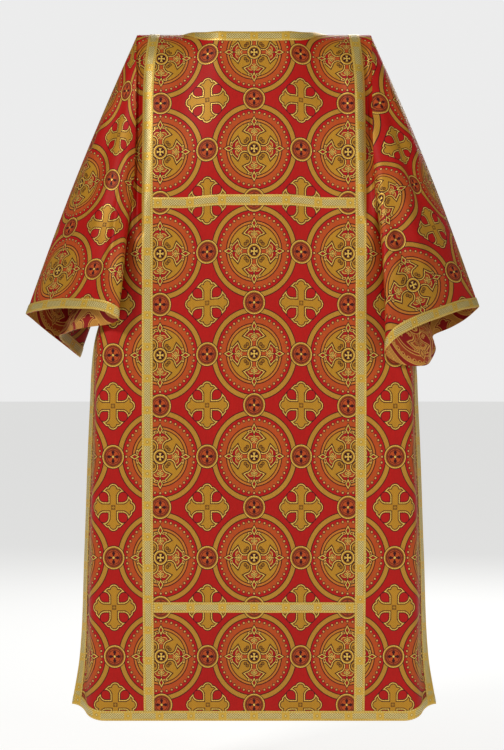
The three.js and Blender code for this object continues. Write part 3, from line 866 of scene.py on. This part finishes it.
# ---------------------------------------------------------------- sleeves
def armhole(side):
    """The ring where a sleeve is sewn on: down the front panel's edge, under the arm, up the back
    panel's edge, one gap away from them. Gives its outer and inner points and how far round each is."""
    down = np.linspace(0, UNDERARM, ARMHOLE_STEPS)
    outside, inside = {}, {}
    for name in ("front", "back"):
        point, normal, along = panel_net(name, side * half_width(down), down)
        outside[name] = point + along * side * GAP
        inside[name] = outside[name] - normal * CLOTH
        outside[name][0, 1] = 0
        inside[name][0, 1] = 0
    under = np.linspace(0, 1, UNDERARM_STEPS)[1:-1, None]
    rings = []
    for net in (outside, inside):
        gap = lerp(net["front"][-1], net["back"][-1], under)
        rings.append(np.concatenate([net["front"], gap, net["back"][:0:-1]]))
    around = np.linalg.norm(np.roll(rings[0], -1, 0) - rings[0], axis=1)
    turn = (np.cumsum(around) - around) / around.sum()
    return rings[0], rings[1], turn


def sleeve_net(hand, side):
    """A sleeve's points: lerp(armhole, cuff, along) + swell sin(pi along) + creases along the normal.
    Its last rows are as long as the braid is wide."""
    outside, inside, turn = armhole(side)
    cuff = CUFFS[hand]
    edge = np.stack([side * through(cuff, "turn", "out", turn),
                     -through(cuff, "turn", "forward", turn), through(cuff, "turn", "up", turn)], -1)
    swell = np.stack([side * through(SWELL, "turn", "out", turn),
                      -through(SWELL, "turn", "forward", turn), 0 * turn], -1)
    braid_part = GALLOON / np.linalg.norm(edge - outside, axis=1)
    upper = np.linspace(0, 1, SLEEVE_STEPS)[:, None] * (1 - braid_part)
    lower = 1 - braid_part * (1 - np.linspace(0, 1, CUFF_STEPS)[1:, None])
    along = np.concatenate([upper, lower])
    point = lerp(outside, edge, along[..., None]) + swell * np.sin(np.pi * along)[..., None]
    normal = net_normals(point, side)
    creased = fold_height(SLEEVE_CREASES[hand], turn[None, :], along, "turn", "along", stretch=0.5)
    creased = creased * (ease(along, 0, 0.15) * (1 - 0.5 * ease(along, 0.85, 1)))
    point = point + normal * creased[..., None]
    return point, net_normals(point, side), inside


def net_normals(point, side):
    """Outward normals of a sleeve's net, from the neighbours round it and along it."""
    around = np.roll(point, -1, 1) - np.roll(point, 1, 1)
    return unit(np.cross(np.gradient(point, axis=0), around)) * -side


def sleeve_places(point):
    """Place of each point on the flat sleeve: distance round from the top line, square to the threads
    that run to the cuff, and distance up from the cuff. The net is rolled to start under the arm."""
    threads = unit(np.gradient(point, axis=0))
    lengths = np.linalg.norm(np.diff(point, axis=0), axis=2)
    up = np.concatenate([np.cumsum(lengths[::-1], 0)[::-1], np.zeros((1, point.shape[1]))])
    step = np.roll(point, -1, 1) - point
    square = step - (step * threads).sum(-1, keepdims=True) * threads
    round_by = np.linalg.norm(square, axis=2)
    half = point.shape[1] // 2
    front = np.concatenate([np.zeros((len(point), 1)), np.cumsum(round_by[:, :half], 1)], 1)
    behind = -np.cumsum(round_by[:, :half - 1:-1], 1)[:, ::-1]
    across = np.concatenate([behind, front], 1)
    rolled = np.concatenate([up[:, half:], up[:, :half + 1]], 1)
    return across, rolled


def grain(hand, across, up, out):
    """Place in the brocade's repeat of a place on a sleeve: straight between the two columns of motifs
    on its front, by the distance round near the outer one and by the distance out from the body near
    the inner one, and at the cloth's own scale round the back."""
    lie = SLEEVE_GRAIN[hand]
    at = {column: through(lie["rows"], "up", column, up) for column in GRAIN_COLUMNS.split()[1:]}
    wide = at["round_inner"] - at["round_outer"]
    between = (across - at["round_outer"]) / wide
    near = np.maximum(between, -0.3)
    facing = (out - at["out_outer"]) / (at["out_inner"] - at["out_outer"])
    near = lerp(near, facing, ease(near, 0.15, 0.75))
    behind = (between - np.maximum(between, -0.3)) * wide
    x = lie["first"] + near * REPEAT["across"] / 2 + behind
    y = REPEAT["first"] - at["row"] * REPEAT["down"]
    return np.stack([x, y], -1)


def sleeve(hand, side):
    """A sleeve and the braid round its cuff."""
    point, normal, inside = sleeve_net(hand, side)
    half = point.shape[1] // 2
    across, up = sleeve_places(point)
    cut = np.stack([across, up], -1)
    out = np.abs(np.roll(point[..., 0], -half, 1))
    places = grain(hand, across, up, np.concatenate([out, out[:, :1]], 1))
    point, normal, inside = (np.roll(net, -half, -2) for net in (point, normal, inside))
    inner = point - normal * CLOTH
    inner[0] = inside
    cloth = wall(f"cloth_sleeve_{hand}", point, inner, places, normal, [cloth_face, cloth_back],
                 loop=True)
    last, outward = point[-CUFF_STEPS:], normal[-CUFF_STEPS:]
    lift = braid_top(np.linspace(-1, 1, CUFF_STEPS)[:, None, None])
    round_edge = np.linalg.norm(np.roll(last[-1], -1, 0) - last[-1], axis=1)
    lengthwise = np.concatenate([[0], np.cumsum(round_edge)])[None, :] + np.zeros((CUFF_STEPS, 1))
    wide = np.linspace(0, GALLOON, CUFF_STEPS)[:, None] + 0 * lengthwise
    cuff = wall(f"braid_cuff_{hand}", last + outward * lift, last + outward * GAP,
                np.stack([lengthwise, wide], -1), outward, [braid], loop=True)
    return cloth, cuff, cut


# ---------------------------------------------------------------- the garment
for name in ("front", "back"):
    cloth, area = panel(name)
    pieces = panel_braid(name)
    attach(cloth, "root")
    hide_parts(f"{name}_panel")
    for node, thing in pieces.items():
        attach(thing, "root")
        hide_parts(f"{name}_{node}")
    FALL[name]["hem"] * MM

for hand, side in (("left", -1), ("right", 1)):
    cloth, cuff, cut = sleeve(hand, side)
    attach(cloth, "root")
    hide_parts(f"sleeve_{hand}")
    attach(cuff, "root")
    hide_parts(f"cuff_galloon_{hand}")
    flat_area(cut)


# ---------------------------------------------------------------- floor, lights and camera
def floor():
    """A plain pale floor below the hem, as one wide disc."""
    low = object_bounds()[0][2] - 0.16
    turn = np.linspace(0, 2 * math.pi, 97)[:-1]
    rim = np.stack([60 * np.cos(turn), 60 * np.sin(turn), np.full_like(turn, low)], -1)
    mesh = bpy.data.meshes.new("floor")
    mesh.from_pydata(rim.tolist(), [], [list(range(len(rim)))])
    material = bpy.data.materials.new("floor")
    material.use_nodes = True
    shader = material.node_tree.nodes["Principled BSDF"]
    shader.inputs["Base Color"].default_value = (0.45, 0.45, 0.44, 1)
    shader.inputs["Roughness"].default_value = 0.9
    shader.inputs["Emission Color"].default_value = (1.0, 1.0, 0.99, 1)
    shader.inputs["Emission Strength"].default_value = 0.66
    mesh.materials.append(material)
    thing = bpy.data.objects.new("floor", mesh)
    bpy.context.scene.collection.objects.link(thing)
    thing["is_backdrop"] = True


def soft_light(name, place, target, width, height, watts):
    data = bpy.data.lights.new(name, "AREA")
    data.shape = "RECTANGLE"
    data.size = width
    data.size_y = height
    data.energy = watts
    thing = bpy.data.objects.new(name, data)
    thing.location = place
    thing.rotation_euler = (Vector(target) - Vector(place)).to_track_quat("-Z", "Y").to_euler()
    thing.visible_camera = False
    bpy.context.scene.collection.objects.link(thing)


def studio():
    scene = bpy.context.scene
    scene.view_settings.view_transform = "Standard"
    world = bpy.data.worlds.new("studio")
    world.use_nodes = True
    tree = world.node_tree
    around = tree.nodes["Background"]
    around.inputs["Color"].default_value = (1.0, 1.0, 1.0, 1)
    around.inputs["Strength"].default_value = 0.13
    behind = tree.nodes.new("ShaderNodeBackground")
    behind.inputs["Color"].default_value = (1.0, 1.0, 1.0, 1)
    behind.inputs["Strength"].default_value = 0.84
    seen = tree.nodes.new("ShaderNodeLightPath")
    mix = tree.nodes.new("ShaderNodeMixShader")
    tree.links.new(seen.outputs["Is Camera Ray"], mix.inputs[0])
    tree.links.new(around.outputs[0], mix.inputs[1])
    tree.links.new(behind.outputs[0], mix.inputs[2])
    tree.links.new(mix.outputs[0], tree.nodes["World Output"].inputs["Surface"])
    scene.world = world
    middle = (0, 0, -0.65)
    soft_light("key", (-2.3, -3.2, 2.0), middle, 0.9, 0.9, 118)
    soft_light("fill", (2.6, -3.2, 0.9), middle, 1.2, 1.4, 44)
    soft_light("back", (0.8, 3.6, 1.6), middle, 2.4, 2.0, 90)
    data = bpy.data.cameras.new("camera")
    data.lens = 99.07
    data.sensor_width = 36
    camera = bpy.data.objects.new("camera", data)
    camera.location = (-0.004, -4.0, -0.659)
    camera.rotation_euler = (math.pi / 2, 0, 0)
    scene.collection.objects.link(camera)
    scene.camera = camera


floor()
studio()
